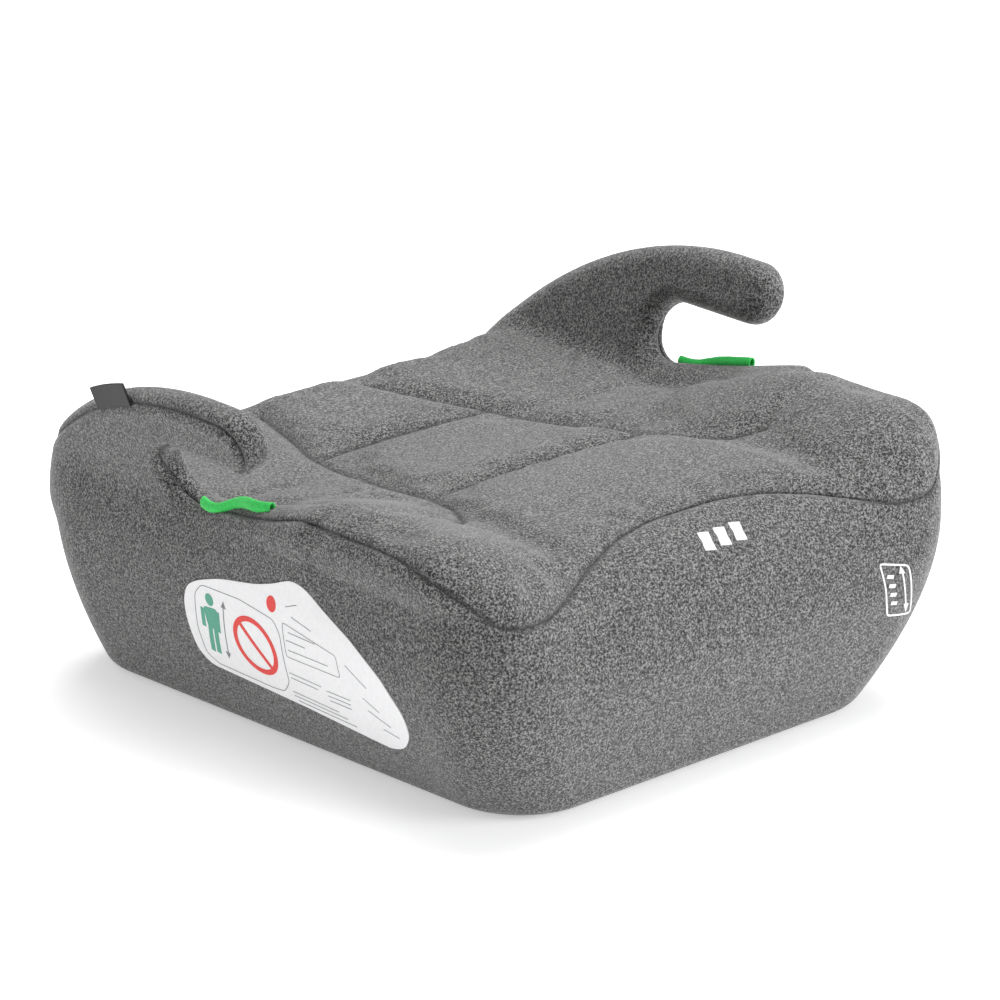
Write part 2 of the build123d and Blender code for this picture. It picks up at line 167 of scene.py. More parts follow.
def seat_height(x, y):
    """Height of the seat's dished top."""
    middle = SEAT_REAR_Z + SEAT_RISE * eased((RISE_Y - y) / RISE_LENGTH)
    bolster = BOLSTER_REAR_Z + BOLSTER_RISE * eased((BOLSTER_Y - y) / BOLSTER_LENGTH)
    across = eased((np.abs(x) - BOLSTER_INNER) / BOLSTER_WIDTH)
    front_past = np.clip(-y - (HALF_DEPTH - FRONT_ROLL), 0, FRONT_ROLL - 2)
    rear_past = np.clip(y - (HALF_DEPTH - REAR_ROLL), 0, REAR_ROLL - 1)
    drop = FRONT_ROLL - np.sqrt(FRONT_ROLL**2 - front_past**2)
    drop = drop + REAR_ROLL - np.sqrt(REAR_ROLL**2 - rear_past**2)
    return middle + (bolster - middle) * across - drop


# %% Hooked armrests
ARM_LEAN, ARM_OUT, ARM_TOP, ARM_THICK, ARM_EDGE = radians(18.0), 217.0, 211.0, 24.0, 11.0
TIP, TIP_Y, NOTCH, NOTCH_Y, NOTCH_Z = 19.0, -9.0, 19.0, 44.5, 154.0
SLOPE_RADIUS, CROWN_Y, ARM_ROOT, ARM_FRONT = 244.0, 8.0, 92.0, -60.0
FLOOR_SLOPE = radians(10.6)


def hook_outline(inset=0.0, closed=True):
    """The armrest from the side: rear slope, crown, tip, notch and notch floor."""
    rear = HALF_DEPTH + 6
    radius = SLOPE_RADIUS - inset
    slope = [
        (y, ARM_TOP - SLOPE_RADIUS + sqrt(radius**2 - (y - CROWN_Y) ** 2))
        for y in np.linspace(rear, CROWN_Y, 30)
    ]
    tip = [
        (TIP_Y + (TIP - inset) * cos(a), ARM_TOP - TIP + (TIP - inset) * sin(a))
        for a in np.linspace(0.5 * pi, 1.5 * pi, 18)
    ]
    notch = [
        (NOTCH_Y + (NOTCH + inset) * cos(a), NOTCH_Z + (NOTCH + inset) * sin(a))
        for a in np.linspace(0.5 * pi, -0.5 * pi - FLOOR_SLOPE, 20)
    ]
    end = notch[-1]
    floor_end = [(ARM_FRONT, end[1] + (end[0] - ARM_FRONT) * tan(FLOOR_SLOPE))]
    outline = slope + tip + notch + floor_end
    return np.array(outline + [(ARM_FRONT, ARM_ROOT), (rear, ARM_ROOT)] if closed else outline)


HOOK = hook_outline()


def outline_distance(p, q, outline):
    """Signed distance of points to a closed outline in the plane, less than 0 inside."""
    nearest = np.full(p.shape, 1e12)
    inside = np.zeros(p.shape, bool)
    for (ax, ay), (bx, by) in zip(outline, np.roll(outline, -1, axis=0)):
        ex, ey = bx - ax, by - ay
        along = np.clip(((p - ax) * ex + (q - ay) * ey) / (ex * ex + ey * ey), 0, 1)
        nearest = np.minimum(nearest, (p - ax - along * ex) ** 2 + (q - ay - along * ey) ** 2)
        if ey:
            inside ^= ((ay > q) != (by > q)) & (p < ex * (q - ay) / ey + ax)
    return np.where(inside, -1, 1) * np.sqrt(nearest)


def arm_place(depth, y, up):
    """Turns armrest coordinates (outwards from its outer face, along Y, up its lean) into X, Y, Z."""
    x = ARM_OUT - ARM_TOP * sin(ARM_LEAN) + depth * cos(ARM_LEAN) + up * sin(ARM_LEAN)
    z = ARM_TOP * (1 - cos(ARM_LEAN)) - depth * sin(ARM_LEAN) + up * cos(ARM_LEAN)
    return x, y, z


def armrest(x, y, z):
    """Distance outside the armrests' slabs."""
    across = np.abs(x) - (ARM_OUT - ARM_TOP * sin(ARM_LEAN))
    rise = z - ARM_TOP * (1 - cos(ARM_LEAN))
    depth = across * cos(ARM_LEAN) - rise * sin(ARM_LEAN)
    up = across * sin(ARM_LEAN) + rise * cos(ARM_LEAN)
    far = np.full(x.shape, 60.0)
    near = (depth > -ARM_THICK - 60) & (depth < 60)
    far[near] = outline_distance(y[near], up[near], HOOK)
    return round_max(far, np.abs(depth + 0.5 * ARM_THICK) - 0.5 * ARM_THICK, ARM_EDGE)


# %% The whole skin as one distance
HEM_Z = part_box("cover_hem")[0][2] / MM


TOP_TILT, ARM_BLEND, ROOT_BLEND, HEM_BLEND = 0.93, 10.0, 14.0, 6.0


def pod(x, y, z):
    """Distance outside the body, without its armrests."""
    return soft_max(hull(x, y, z), TOP_TILT * (z - seat_height(x, y)), TOP_BLEND)


def hooks(x, y, z):
    """Distance outside the armrests, trimmed to the body's sides."""
    return soft_max(armrest(x, y, z), hull(x, y, z), ARM_BLEND)


def seat(x, y, z):
    """Distance outside the whole dressed seat."""
    return soft_max(soft_min(pod(x, y, z), hooks(x, y, z), ROOT_BLEND), HEM_Z - z, HEM_BLEND)


def surface_slope(points, field=seat, reach=0.6):
    """Outward direction of a field's surface at points."""
    slope = np.empty_like(points)
    for axis in range(3):
        ahead, behind = points.copy(), points.copy()
        ahead[:, axis] += reach
        behind[:, axis] -= reach
        slope[:, axis] = field(*ahead.T) - field(*behind.T)
    return slope / np.maximum(np.linalg.norm(slope, axis=1, keepdims=True), 1e-9)


def onto_surface(points, field=seat, rounds=3):
    """Moves points along the field's slope until they lie on its surface."""
    placed = np.array(points, float)
    for _ in range(rounds):
        placed -= field(*placed.T)[:, None] * surface_slope(placed, field)
    return placed

# %% [markdown]
# ## From distance to mesh
# A surface net puts one vertex in each grid cell that the surface crosses and joins neighbours with quads.
# The vertices are then slid along the field's slope, so they lie on the true surface, not on the grid.

# %% Surface net
def surface_net(field, step, low, high):
    """Vertices and outward quads of a field's surface, in millimetres."""
    axes = [np.arange(a, b + step, step) for a, b in zip(low, high)]
    grid = np.meshgrid(*axes, indexing="ij")
    values = field(*[g.ravel() for g in grid]).reshape(grid[0].shape)
    cells = np.array(values.shape) - 1
    total = np.zeros((cells.prod(), 3))
    count = np.zeros(cells.prod())
    quads = []
    for axis in range(3):
        near = np.take(values, range(cells[axis]), axis)
        far = np.take(values, range(1, cells[axis] + 1), axis)
        crossed = (near < 0) != (far < 0)
        place = np.argwhere(crossed)
        point = place.astype(float)
        point[:, axis] += near[crossed] / (near[crossed] - far[crossed])
        u, v = (axis + 1) % 3, (axis + 2) % 3
        around = []
        for du, dv in ((0, 0), (-1, 0), (-1, -1), (0, -1)):
            cell = place.copy()
            cell[:, u] += du
            cell[:, v] += dv
            index = np.ravel_multi_index(tuple(cell.T), tuple(cells))
            np.add.at(total, index, point)
            np.add.at(count, index, 1)
            around.append(index)
        quad = np.stack(around, 1)
        leaving = near[crossed] < 0
        quads.append(np.where(leaving[:, None], quad, quad[:, ::-1]))
    quads = np.concatenate(quads)
    used, quads = np.unique(quads, return_inverse=True)
    points = total[used] / count[used, None] * step + np.array([a[0] for a in axes])
    return onto_surface(points, field), quads.reshape(-1, 4)


def mesh_object(name, points, faces, smooth=True):
    """A mesh object from millimetre points."""
    mesh = bpy.data.meshes.new(name)
    mesh.from_pydata((np.asarray(points) * MM).tolist(), [], [list(map(int, f)) for f in faces])
    mesh.validate()
    if smooth:
        mesh.shade_smooth()
    return new_object(name, mesh)


GRID_LOW, GRID_HIGH = (-224, -230, -6), (224, 224, 228)
FINE = 2.4
SNAP = 0.3 * FINE
cover_points, cover_quads = surface_net(seat, FINE, GRID_LOW, GRID_HIGH)
print("cover skin", len(cover_points), "vertices", len(cover_quads), "quads")

# %% [markdown]
# ## The seams
# One seam runs round the whole seat. It crosses the front roll in a shallow dip, follows the bolster's
# outer edge, dives into the belt notch, rounds the hook's tip and comes down the rear slope. Under the
# hook it lies on the outer rim of the armrest, so its line there is the hook's outline moved in a little.

# %% The seam's line
RIM = 3.2
FRONT_SEAM = [
    (0, -156, 149), (25, -156, 148), (55, -162, 146), (87, -174, 141), (115, -186, 133),
    (134, -192, 128), (150, -194, 128), (160, -193, 129), (171, -189, 133), (178, -182, 142),
    (188, -167, 153), (191, -145, 160), (191, -117, 161), (191, -90, 160), (190, -63, 159),
    (190, -28, 151), (186, 8, 144), (183, 43, 138), (185, 62, 145), (189, 67, 157),
]
REAR_SEAM = [(182, 185, 140), (165, 199, 126), (120, 203, 120), (0, 204, 118)]


def hook_seam():
    """The seam's part on the armrest, from the notch round the tip and down the rear slope."""
    outline = hook_outline(RIM, closed=False)[::-1]
    kept = [
        (y, up) for y, up in outline
        if up > NOTCH_Z + 8 and y < 176 and not (y < NOTCH_Y and up < NOTCH_Z + NOTCH)
    ]
    return [arm_place(-RIM, y, up) for y, up in kept]


def even_line(points, spacing, closed=False):
    """The same line with evenly spaced points."""
    line = np.array(points, float)
    if closed:
        line = np.vstack([line, line[:1]])
    reach = np.concatenate([[0], np.cumsum(np.linalg.norm(np.diff(line, axis=0), axis=1))])
    count = max(2, int(round(reach[-1] / spacing)))
    at = np.linspace(0, reach[-1], count + 1)[: count if closed else count + 1]
    return np.stack([np.interp(at, reach, line[:, k]) for k in range(line.shape[1])], 1)


def eased_loop(loop, rounds):
    """A closed line with its kinks smoothed away."""
    for _ in range(rounds):
        loop = 0.5 * loop + 0.25 * (np.roll(loop, 1, 0) + np.roll(loop, -1, 0))
    return loop


half_seam = np.array(FRONT_SEAM + hook_seam() + REAR_SEAM)
mirror_seam = half_seam[-2:0:-1] * (-1, 1, 1)
seam = even_line(np.vstack([half_seam, mirror_seam]), 1.5, closed=True)
seam = onto_surface(eased_loop(seam, 14))
seam = onto_surface(even_line(eased_loop(seam, 6), 1.5, closed=True))
seam_along = np.roll(seam, -1, 0) - np.roll(seam, 1, 0)
seam_along /= np.linalg.norm(seam_along, axis=1, keepdims=True)
seam_side = np.cross(seam_along, surface_slope(seam))
print("seam", len(seam), "points", round(float(len(seam) * 1.5), 0), "mm")

# %% [markdown]
# The skin is cut exactly along that line: vertices close to it are moved onto it, and triangles that still
# cross it are split. A flood from the middle of the seat then collects the top panel, and two upright cuts
# part the back panel from the skirt.

# %% Cutting the skin into panels
SEAM_REACH = 12.0
FAR = 1e3


def nearest_on(line, points, reach):
    """For each point the nearest line point's number and distance, or a far distance."""
    tree = KDTree(len(line))
    for number, place in enumerate(line):
        tree.insert(place, number)
    tree.balance()
    low, high = line.min(0) - reach, line.max(0) + reach
    number, distance = np.zeros(len(points), int), np.full(len(points), FAR)
    for i in np.nonzero(((points > low) & (points < high)).all(1))[0]:
        _, number[i], distance[i] = tree.find(points[i])
    return number, distance


def side_of_seam(points):
    """Signed distance across the seam, and where it counts."""
    number, distance = nearest_on(seam, points, SEAM_REACH)
    signed = ((points - seam[number]) * seam_side[number]).sum(1)
    return signed, distance < SEAM_REACH - 2


def cut(points, triangles, signed, counts, snap):
    """Splits triangles where the signed value crosses zero. Also returns the value at every vertex."""
    signed = np.where(counts, signed, FAR)
    signed[counts & (np.abs(signed) < snap)] = 0.0
    points, signed, made, kept = list(points), list(signed), {}, []

    def crossing(a, b):
        key = (min(a, b), max(a, b))
        if key not in made:
            share = signed[a] / (signed[a] - signed[b])
            made[key] = len(points)
            points.append(points[a] + share * (points[b] - points[a]))
            signed.append(0.0)
        return made[key]

    for tri in triangles:
        values = [signed[v] for v in tri]
        if max(values) == FAR or not min(values) < 0 < max(values):
            kept.append(tri)
            continue
        if 0.0 in values:
            turn = values.index(0.0)
            a, b, c = tri[turn], tri[(turn + 1) % 3], tri[(turn + 2) % 3]
            new = crossing(b, c)
            kept += [(a, b, new), (a, new, c)]
            continue
        over = [value > 0 for value in values]
        turn = next(k for k in range(3) if over[k] != over[k - 1] and over[k] != over[k - 2])
        a, b, c = tri[turn], tri[(turn + 1) % 3], tri[(turn + 2) % 3]
        ab, ac = crossing(a, b), crossing(a, c)
        kept += [(a, ab, ac), (ab, b, c), (ab, c, ac)]
    return np.array(points), np.array(kept), np.array(signed)


def flood(triangles, walls, start):
    """The triangles reached from one without crossing an edge that joins two wall vertices."""
    edges = {}
    for t, tri in enumerate(triangles):
        for k in range(3):
            a, b = int(tri[k - 1]), int(tri[k])
            if not (walls[a] and walls[b]):
                edges.setdefault((min(a, b), max(a, b)), []).append(t)
    beside = [[] for _ in triangles]
    for pair in edges.values():
        for one in pair:
            beside[one] += [other for other in pair if other != one]
    reached = np.zeros(len(triangles), bool)
    reached[start] = True
    waiting = [start]
    while waiting:
        for other in beside[waiting.pop()]:
            if not reached[other]:
                reached[other] = True
                waiting.append(other)
    return reached


BACK_SEAM_X = 140.0
triangles = np.vstack([cover_quads[:, [0, 1, 2]], cover_quads[:, [0, 2, 3]]])
number, _ = nearest_on(seam, cover_points, SEAM_REACH)
signed, counts = side_of_seam(cover_points)
snapped = counts & (np.abs(signed) < SNAP)
cover_points[snapped] -= signed[snapped, None] * seam_side[number[snapped]]
cover_points, triangles, on_seam = cut(cover_points, triangles, signed, counts, SNAP)
centre = cover_points[triangles].mean(1)
middle = int(np.argmin(np.linalg.norm(centre - (0, 0, 140), axis=1)))
top_faces = flood(triangles, on_seam == 0, middle)
print("top panel", int(top_faces.sum()), "of", len(triangles), "triangles")

upright = np.abs(cover_points[:, 0]) - BACK_SEAM_X
behind = (cover_points[:, 1] > 120) & (np.abs(upright) < 3 * FINE) & (cover_points[:, 2] < 150)
side_cut = behind & (np.abs(upright) < SNAP)
cover_points[side_cut, 0] -= (np.sign(cover_points[:, 0]) * upright)[side_cut]
side_triangles = triangles[~top_faces]
cover_points, side_triangles, _ = cut(cover_points, side_triangles, upright, behind, SNAP)
side_centre = cover_points[side_triangles].mean(1)
back_faces = (side_centre[:, 1] > 120) & (np.abs(side_centre[:, 0]) < BACK_SEAM_X)
top_triangles = triangles[top_faces]

# %% [markdown]
# ## Sewn channels and puff
# Sewn lines pull the top panel into the foam: two long ones that open towards the front, and two across.
# Between them the padding swells. A cloth simulation on a coarse copy finds that swelling: it is blown up
# gently with its edges and channels pinned, and its movement is carried over to the fine skin.

# %% Channels
LONG_CHANNEL = [
    (42, 168), (47, 148), (56, 118), (66, 90), (72, 50),
    (78, 5), (83, -38), (90, -66), (103, -88), (121, -99),
]
CROSS_CHANNELS = ((84.0, 4, 67), (-36.0, 5, 83))  # place along Y, bow towards the rear, half width
channels = [even_line([(side * x, y) for x, y in LONG_CHANNEL], 2.0) for side in (-1, 1)]
for place, bow, half in CROSS_CHANNELS:
    across = np.linspace(-half, half, 30)
    channels.append(even_line([(x, place + bow * (1 - (x / half) ** 2)) for x in across], 2.0))
channel_line = np.vstack(channels)
channel_line = np.column_stack([channel_line, np.zeros(len(channel_line))])


def channel_distance(points, upwards):
    """Distance in plan from the sewn channels, far where the surface doesn't face up."""
    flat = points * (1, 1, 0)
    _, distance = nearest_on(channel_line, flat, 30)
    return np.where(upwards > 0.5, distance, FAR)


# %% Puff from a cloth simulation
PUFF_CAP, PUFF_FLOOR = 3.0, -1.0


def puffed(points):
    """How far the padding swells at each point, in millimetres."""
    coarse, quads = surface_net(seat, 7.0, GRID_LOW, GRID_HIGH)
    slope = surface_slope(coarse)
    signed, counts = side_of_seam(coarse)
    _, seam_gap = nearest_on(seam, coarse, 12)
    faces = np.vstack([quads[:, [0, 1, 2]], quads[:, [0, 2, 3]]])
    wall = counts & (np.abs(signed) < 6)
    start = int(np.argmin(np.linalg.norm(coarse[faces].mean(1) - (0, 0, 140), axis=1)))
    inner = np.zeros(len(coarse), bool)
    inner[faces[flood(faces, wall, start)].ravel()] = True
    on_arm = armrest(*coarse.T) < 5
    pinned = ~inner | on_arm | (seam_gap < 6) | (channel_distance(coarse, slope[:, 2]) < 5)
    cloth_object = mesh_object("cloth_pass", coarse, quads)
    group = cloth_object.vertex_groups.new(name="pinned")
    group.add([int(i) for i in np.nonzero(pinned)[0]], 1.0, "REPLACE")
    modifier = cloth_object.modifiers.new("cloth", "CLOTH")
    modifier.settings.vertex_group_mass = "pinned"
    modifier.settings.use_pressure = True
    modifier.settings.uniform_pressure_force = 4.0
    modifier.settings.shrink_min = -0.03
    modifier.settings.effector_weights.gravity = 0.0
    modifier.settings.quality = 6
    modifier.point_cache.frame_start, modifier.point_cache.frame_end = 1, 20
    for step in range(1, 21):
        bpy.context.scene.frame_set(step)
    blown = cloth_object.evaluated_get(bpy.context.evaluated_depsgraph_get()).to_mesh()
    moved = np.array([v.co for v in blown.vertices]) / MM - coarse
    bpy.context.scene.frame_set(1)
    bpy.data.objects.remove(cloth_object, do_unlink=True)
    rise = np.clip((moved * slope).sum(1), PUFF_FLOOR, PUFF_CAP)
    tree = KDTree(len(coarse))
    for i, place in enumerate(coarse):
        tree.insert(place, i)
    tree.balance()
    result = np.zeros(len(points))
    for i, point in enumerate(points):
        found = tree.find_n(point, 6)
        weight = np.array([1 / (d * d + 9) for _, _, d in found])
        result[i] = (weight * rise[[j for _, j, _ in found]]).sum() / weight.sum()
    return result


outward = surface_slope(cover_points)
_, seam_gap = nearest_on(seam, cover_points, 14)
channel_gap = channel_distance(cover_points, outward[:, 2])
on_top = np.zeros(len(cover_points), bool)
on_top[top_triangles.ravel()] = True
shift = np.zeros(len(cover_points))
shift[on_top] = puffed(cover_points[on_top])
shift *= eased(seam_gap / SEAM_REACH) * (1 - 0.9 * np.exp(-((channel_gap / 6) ** 2)))
CHANNEL_DEPTH, SEAM_DEPTH = 4.0, 1.5
valley, stitched_line = np.exp(-((channel_gap / 10) ** 2)), np.exp(-((channel_gap / 2.3) ** 2))
shift -= CHANNEL_DEPTH * (0.45 * valley + 0.55 * stitched_line) * on_top
seam_roll = 0.3 * np.exp(-(((seam_gap - 6) / 4) ** 2))
shift += seam_roll - SEAM_DEPTH * np.exp(-((seam_gap / 1.8) ** 2))
back_gap = np.abs(np.abs(cover_points[:, 0]) - BACK_SEAM_X)
on_back = (cover_points[:, 1] > 120) & ~on_top
shift -= np.where(on_back, 1.6 * np.exp(-((back_gap / 2.2) ** 2)), 0)
cover_final = cover_points + shift[:, None] * outward
# Painted shade: a per-vertex weight that darkens the knit's colour in the seam, the sewn channels and the
# back seams, standing in for the shade in their grooves.
seam_shade, channel_shade = np.exp(-((seam_gap / 1.2) ** 2)), np.exp(-((channel_gap / 1.6) ** 2))
painted_crease_shade = np.maximum(0.8 * seam_shade, channel_shade * on_top)
painted_crease_shade = np.maximum(painted_crease_shade, np.where(on_back, np.exp(-((back_gap / 1.7) ** 2)), 0))
print("puff", round(float(shift.min()), 2), "to", round(float(shift.max()), 2), "mm")

# %% [markdown]
# ## Materials
# Each finish is a small procedural material. The knit is a heather: pale and dark yarns mixed at the scale of
# a millimetre, over a fine bump, with a soft sheen, and painted shade darkens it in the seams and channels.
# Patterns read object coordinates, so they stay put.

# %% Material helpers
def add(tree, kind, values=()):
    """A new shader node, with some of its inputs set."""
    node = tree.nodes.new("ShaderNode" + kind)
    for label, value in dict(values).items():
        node.inputs[label].default_value = value
    return node


def material(name, values):
    """A new material, its node tree and its shader, with some of the shader's inputs set."""
    made = bpy.data.materials.new(name)
    made.use_nodes = True
    shader = made.node_tree.nodes["Principled BSDF"]
    for label, value in values.items():
        shader.inputs[label].default_value = value
    return made, made.node_tree, shader


def plain(name, colour, roughness=0.6, metallic=0.0, sheen=0.0, grain=None, depth=0.0, tone=0.0):
    """A material of one colour, with an optional fine grain that varies its tone and its bump."""
    made, tree, shader = material(name, {
        "Base Color": (*colour, 1), "Roughness": roughness, "Metallic": metallic, "Sheen Weight": sheen,
    })
    if grain:
        place = add(tree, "TexCoord")
        noise = add(tree, "TexNoise", {"Scale": grain, "Detail": 2.0})
        bump = add(tree, "Bump", {"Distance": depth, "Strength": 0.42})
        tree.links.new(place.outputs["Object"], noise.inputs["Vector"])
        tree.links.new(noise.outputs["Fac"], bump.inputs["Height"])
        tree.links.new(bump.outputs["Normal"], shader.inputs["Normal"])
        if tone:
            ramp = add(tree, "ValToRGB")
            ramp.color_ramp.elements[0].position = 0.3
            ramp.color_ramp.elements[1].position = 0.7
            for element, scale in zip(ramp.color_ramp.elements, (1 - tone, 1 + tone)):
                element.color = (*[min(1.0, c * scale) for c in colour], 1)
            tree.links.new(noise.outputs["Fac"], ramp.inputs["Fac"])
            tree.links.new(ramp.outputs["Color"], shader.inputs["Base Color"])
    return made


def heather(name, dark, middle, light):
    """A knit of mixed yarns: short fibres of three tones, a knitted bump and a sheen, with painted shade
    darkening its colour in seams and channels.
    """
    made, tree, shader = material(name, {
        "Roughness": 0.92, "Specular IOR Level": 0.2, "Sheen Weight": 0.35, "Sheen Roughness": 0.5,
    })
    place = add(tree, "TexCoord")
    layers = []
    for scale, detail in ((800, 3.0), (1900, 1.0)):
        noise = add(tree, "TexNoise", {"Scale": scale, "Detail": detail, "Distortion": 0.6})
        tree.links.new(place.outputs["Object"], noise.inputs["Vector"])
        layers.append(noise)
    mix, half = add(tree, "Math", {1: 0.6}), add(tree, "Math", {1: 0.4})
    mix.operation, half.operation = "MULTIPLY_ADD", "MULTIPLY"
    tree.links.new(layers[0].outputs["Fac"], mix.inputs[0])
    tree.links.new(layers[1].outputs["Fac"], half.inputs[0])
    tree.links.new(half.outputs[0], mix.inputs[2])
    ramp = add(tree, "ValToRGB")
    ramp.color_ramp.elements[0].position, ramp.color_ramp.elements[0].color = 0.43, (*dark, 1)
    ramp.color_ramp.elements[1].position, ramp.color_ramp.elements[1].color = 0.59, (*light, 1)
    ramp.color_ramp.elements.new(0.50).color = (*middle, 1)
    tree.links.new(mix.outputs[0], ramp.inputs["Fac"])
    # Painted shade: the vertex weight mixes the yarn colour towards a dark grey in seams and channels, where
    # the grooves would be shaded.
    crease_shade_input = add(tree, "Attribute")
    crease_shade_input.attribute_name = "painted_crease_shade"
    painted_shade_mix = add(tree, "Mix")
    painted_shade_mix.data_type = "RGBA"
    painted_shade_mix.inputs["B"].default_value = (*[0.12 * c for c in middle], 1)
    tree.links.new(crease_shade_input.outputs["Fac"], painted_shade_mix.inputs["Factor"])
    tree.links.new(ramp.outputs["Color"], painted_shade_mix.inputs["A"])
    tree.links.new(painted_shade_mix.outputs["Result"], shader.inputs["Base Color"])
    bump = add(tree, "Bump", {"Distance": 0.0005, "Strength": 0.5})
    tree.links.new(mix.outputs[0], bump.inputs["Height"])
    tree.links.new(bump.outputs["Normal"], shader.inputs["Normal"])
    return made


KNIT = heather("knit_fabric", (0.015, 0.015, 0.016), (0.080, 0.079, 0.078), (0.285, 0.281, 0.276))
BINDING = plain("hem_binding", (0.05, 0.05, 0.052), 0.85, grain=900, depth=0.0003, tone=0.2)
ELASTIC = plain("elastic_band", (0.025, 0.025, 0.027), 0.8, grain=1200, depth=0.0003, tone=0.2)
GREEN = plain("green_webbing", (0.02, 0.62, 0.09), 0.7, sheen=0.2, grain=1300, depth=0.0004, tone=0.25)
LABEL = plain("label_film", (0.85, 0.85, 0.86), 0.55, grain=400, depth=0.00005, tone=0.03)
RIBBON = plain("tag_ribbon", (0.012, 0.012, 0.013), 0.6, grain=1400, depth=0.0002, tone=0.2)
FOAM = plain("pad_foam", (0.72, 0.70, 0.64), 0.95, grain=700, depth=0.0006, tone=0.1)
MOULDING = plain("moulded_plastic", (0.028, 0.028, 0.03), 0.48, grain=1500, depth=0.00012, tone=0.1)
CLIP = plain("clip_plastic", (0.05, 0.05, 0.055), 0.4, grain=1500, depth=0.00008, tone=0.08)
RUBBER = plain("foot_rubber", (0.018, 0.018, 0.018), 0.85, grain=1100, depth=0.0002, tone=0.15)
STEEL = plain("screw_steel", (0.55, 0.55, 0.57), 0.32, 1.0, grain=900, depth=0.00004, tone=0.06)
PRINT_GREEN = plain("print_green", (0.09, 0.36, 0.25), 0.6, grain=800, depth=0.00003, tone=0.05)
PRINT_RED = plain("print_red", (0.75, 0.05, 0.04), 0.6, grain=800, depth=0.00003, tone=0.05)
PRINT_GREY = plain("print_grey", (0.20, 0.20, 0.21), 0.6, grain=800, depth=0.00003, tone=0.05)
PRINT_PALE = plain("print_pale", (0.78, 0.78, 0.78), 0.6, grain=800, depth=0.00003, tone=0.03)
WHITE_FLOOR = plain("floor_paper", (0.95, 0.95, 0.95), 0.9)
paper = WHITE_FLOOR.node_tree.nodes["Principled BSDF"]
paper.inputs["Emission Color"].default_value = (1, 1, 1, 1)
paper.inputs["Emission Strength"].default_value = 0.42
floor.data.materials.append(WHITE_FLOOR)

CARRIED = {
    "seat_shell": MOULDING, "base_tray": MOULDING, "arm_outer_left": MOULDING, "arm_outer_right": MOULDING,
    "arm_inner_left": MOULDING, "arm_inner_right": MOULDING, "tray_screws": STEEL, "arm_screws": STEEL,
    "deck_screws": STEEL, "hem_clips": CLIP, "foot_front_left": RUBBER, "foot_front_right": RUBBER,
    "foot_rear_left": RUBBER, "foot_rear_right": RUBBER,
}
for node, finish in CARRIED.items():
    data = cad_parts[node].data
    data.materials.clear()
    data.materials.append(finish)


def finished(piece, finish, slot, *nodes):
    """Gives a piece its material and body, and hides the CAD nodes that it stands for. The slot is not used.
    """
    piece.data.materials.clear()
    piece.data.materials.append(finish)
    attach(piece, "root")
    if nodes:
        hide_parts(*nodes)
    return piece


# %% [markdown]
# ## The cover's panels
# Each panel is its share of the fine skin, given the fabric's 3 mm wall. The floor side of the skin is
# left out, because the cover is open underneath and only its hem turns in there.

# %% Panels
FABRIC = 3.0


def panel(name, faces):
    """One cover panel: its outer skin, an inner skin one fabric thickness in, and a closed rim."""
    used, faces = np.unique(faces, return_inverse=True)
    faces = faces.reshape(-1, 3)
    outer, count = cover_final[used], len(used)
    inner = outer - FABRIC * outward[used]
    edges = {}
    for a, b, c in faces.tolist():
        for edge in ((a, b), (b, c), (c, a)):
            edges[edge] = edges.get(edge, 0) + 1
    rim = [(a, b) for a, b in edges if (b, a) not in edges]
    walls = [(b, a, a + count) for a, b in rim] + [(b, a + count, b + count) for a, b in rim]
    made = mesh_object(name, np.vstack([outer, inner]), np.vstack([faces, faces[:, ::-1] + count, walls]))
    # Painted shade: the vertex weight that darkens seams and channels goes on both skins.
    shade = made.data.attributes.new("painted_crease_shade", "FLOAT", "POINT")
    shade.data.foreach_set("value", np.tile(painted_crease_shade[used], 2).astype(np.float32))
    return made


top_panel = finished(
    panel("cover_top", top_triangles), KNIT, "knit_fabric",
    "cover_seat_panel", "cover_arm_left", "cover_arm_right",
)

underside = (side_centre[:, 2] < HEM_Z + 3) & (hull(*side_centre.T) < -8)
outside = ~underside
side_faces, rear_faces = side_triangles[outside & ~back_faces], side_triangles[outside & back_faces]
skirt = finished(panel("cover_sides", side_faces), KNIT, "knit_fabric", "cover_skirt")
back_panel = finished(panel("cover_back", rear_faces), KNIT, "knit_fabric", "cover_back_panel")
for piece in (top_panel, skirt, back_panel):
    print(piece.name, len(piece.data.polygons), "faces")

# %% [markdown]
# ## Foam under the cover
# The pads are shells cut from the same distance: they start just under the fabric and are as deep as the
# foam. They carry the seat's load, so their form repeats the seat's.

# %% Foam pads
SEAT_PAD_DEPTH, SEAT_PAD_LOW, ARM_ROOM = 18.5, 100.0, 12.0
ARM_PAD_DEPTH, ARM_PAD_LOW, PAD_GAP = 8.0, 150.0, 0.6


def seat_pad(x, y, z):
    """The seat foam: a layer under the seat panel."""
    outside = pod(x, y, z)
    layer = np.maximum(outside + FABRIC + CHANNEL_DEPTH, -(outside + SEAT_PAD_DEPTH))
    return np.maximum(np.maximum(layer, SEAT_PAD_LOW - z), ARM_ROOM - armrest(x, y, z))


def arm_pad(x, y, z):
    """The armrest foam: a layer round each hook."""
    outside = hooks(x, y, z)
    layer = np.maximum(outside + FABRIC + PAD_GAP, -(outside + ARM_PAD_DEPTH))
    return np.maximum(layer, ARM_PAD_LOW - z)


